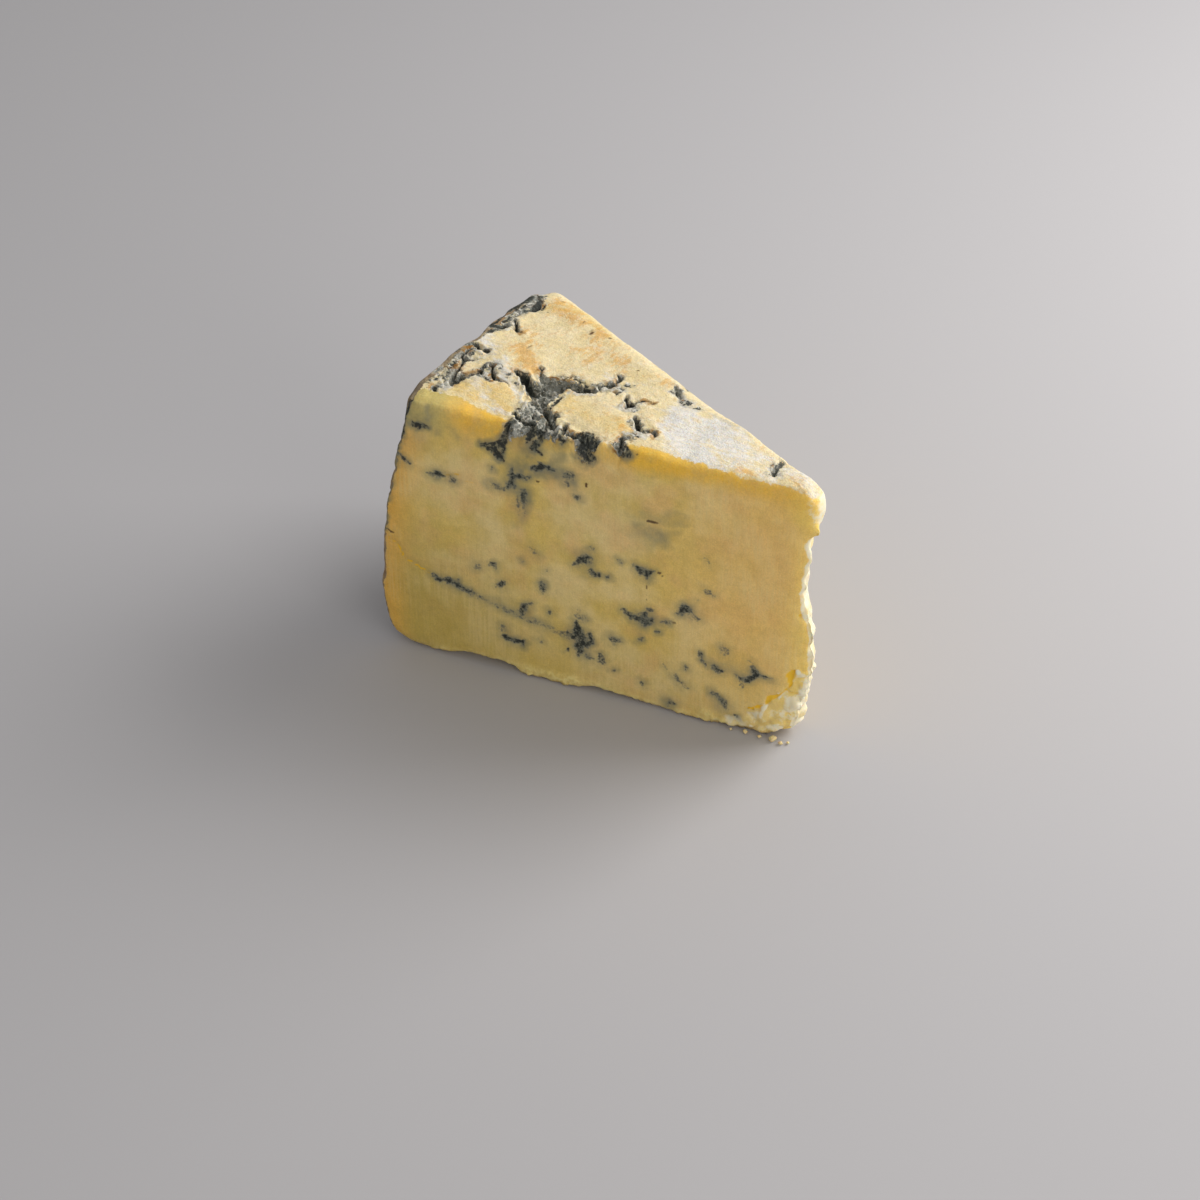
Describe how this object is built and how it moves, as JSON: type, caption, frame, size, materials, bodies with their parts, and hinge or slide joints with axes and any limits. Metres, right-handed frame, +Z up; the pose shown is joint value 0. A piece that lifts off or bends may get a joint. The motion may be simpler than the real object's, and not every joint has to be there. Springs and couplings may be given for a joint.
{
  "type": "stilton wedge",
  "caption": "Slice of a wheel of blue-veined cheese: curved rind side, flat cut faces, a fissured crust on top and a broken tip.",
  "frame": {"origin": "middle of the bounding box's bottom, on the flat underside", "axes": "+X from the rind to the tip, +Z up the wheel's axis, the cut faces look to -Y and +Y"},
  "size_m": [0.0986, 0.0592, 0.0676],
  "materials": {
    "cheese": "pale yellow waxy paste with blue-grey mould veins; dry cream crust on top; mottled grey-brown rind"
  },
  "bodies": {
    "root": {"stilton_wedge": "cheese"}
  },
  "joints": []
}
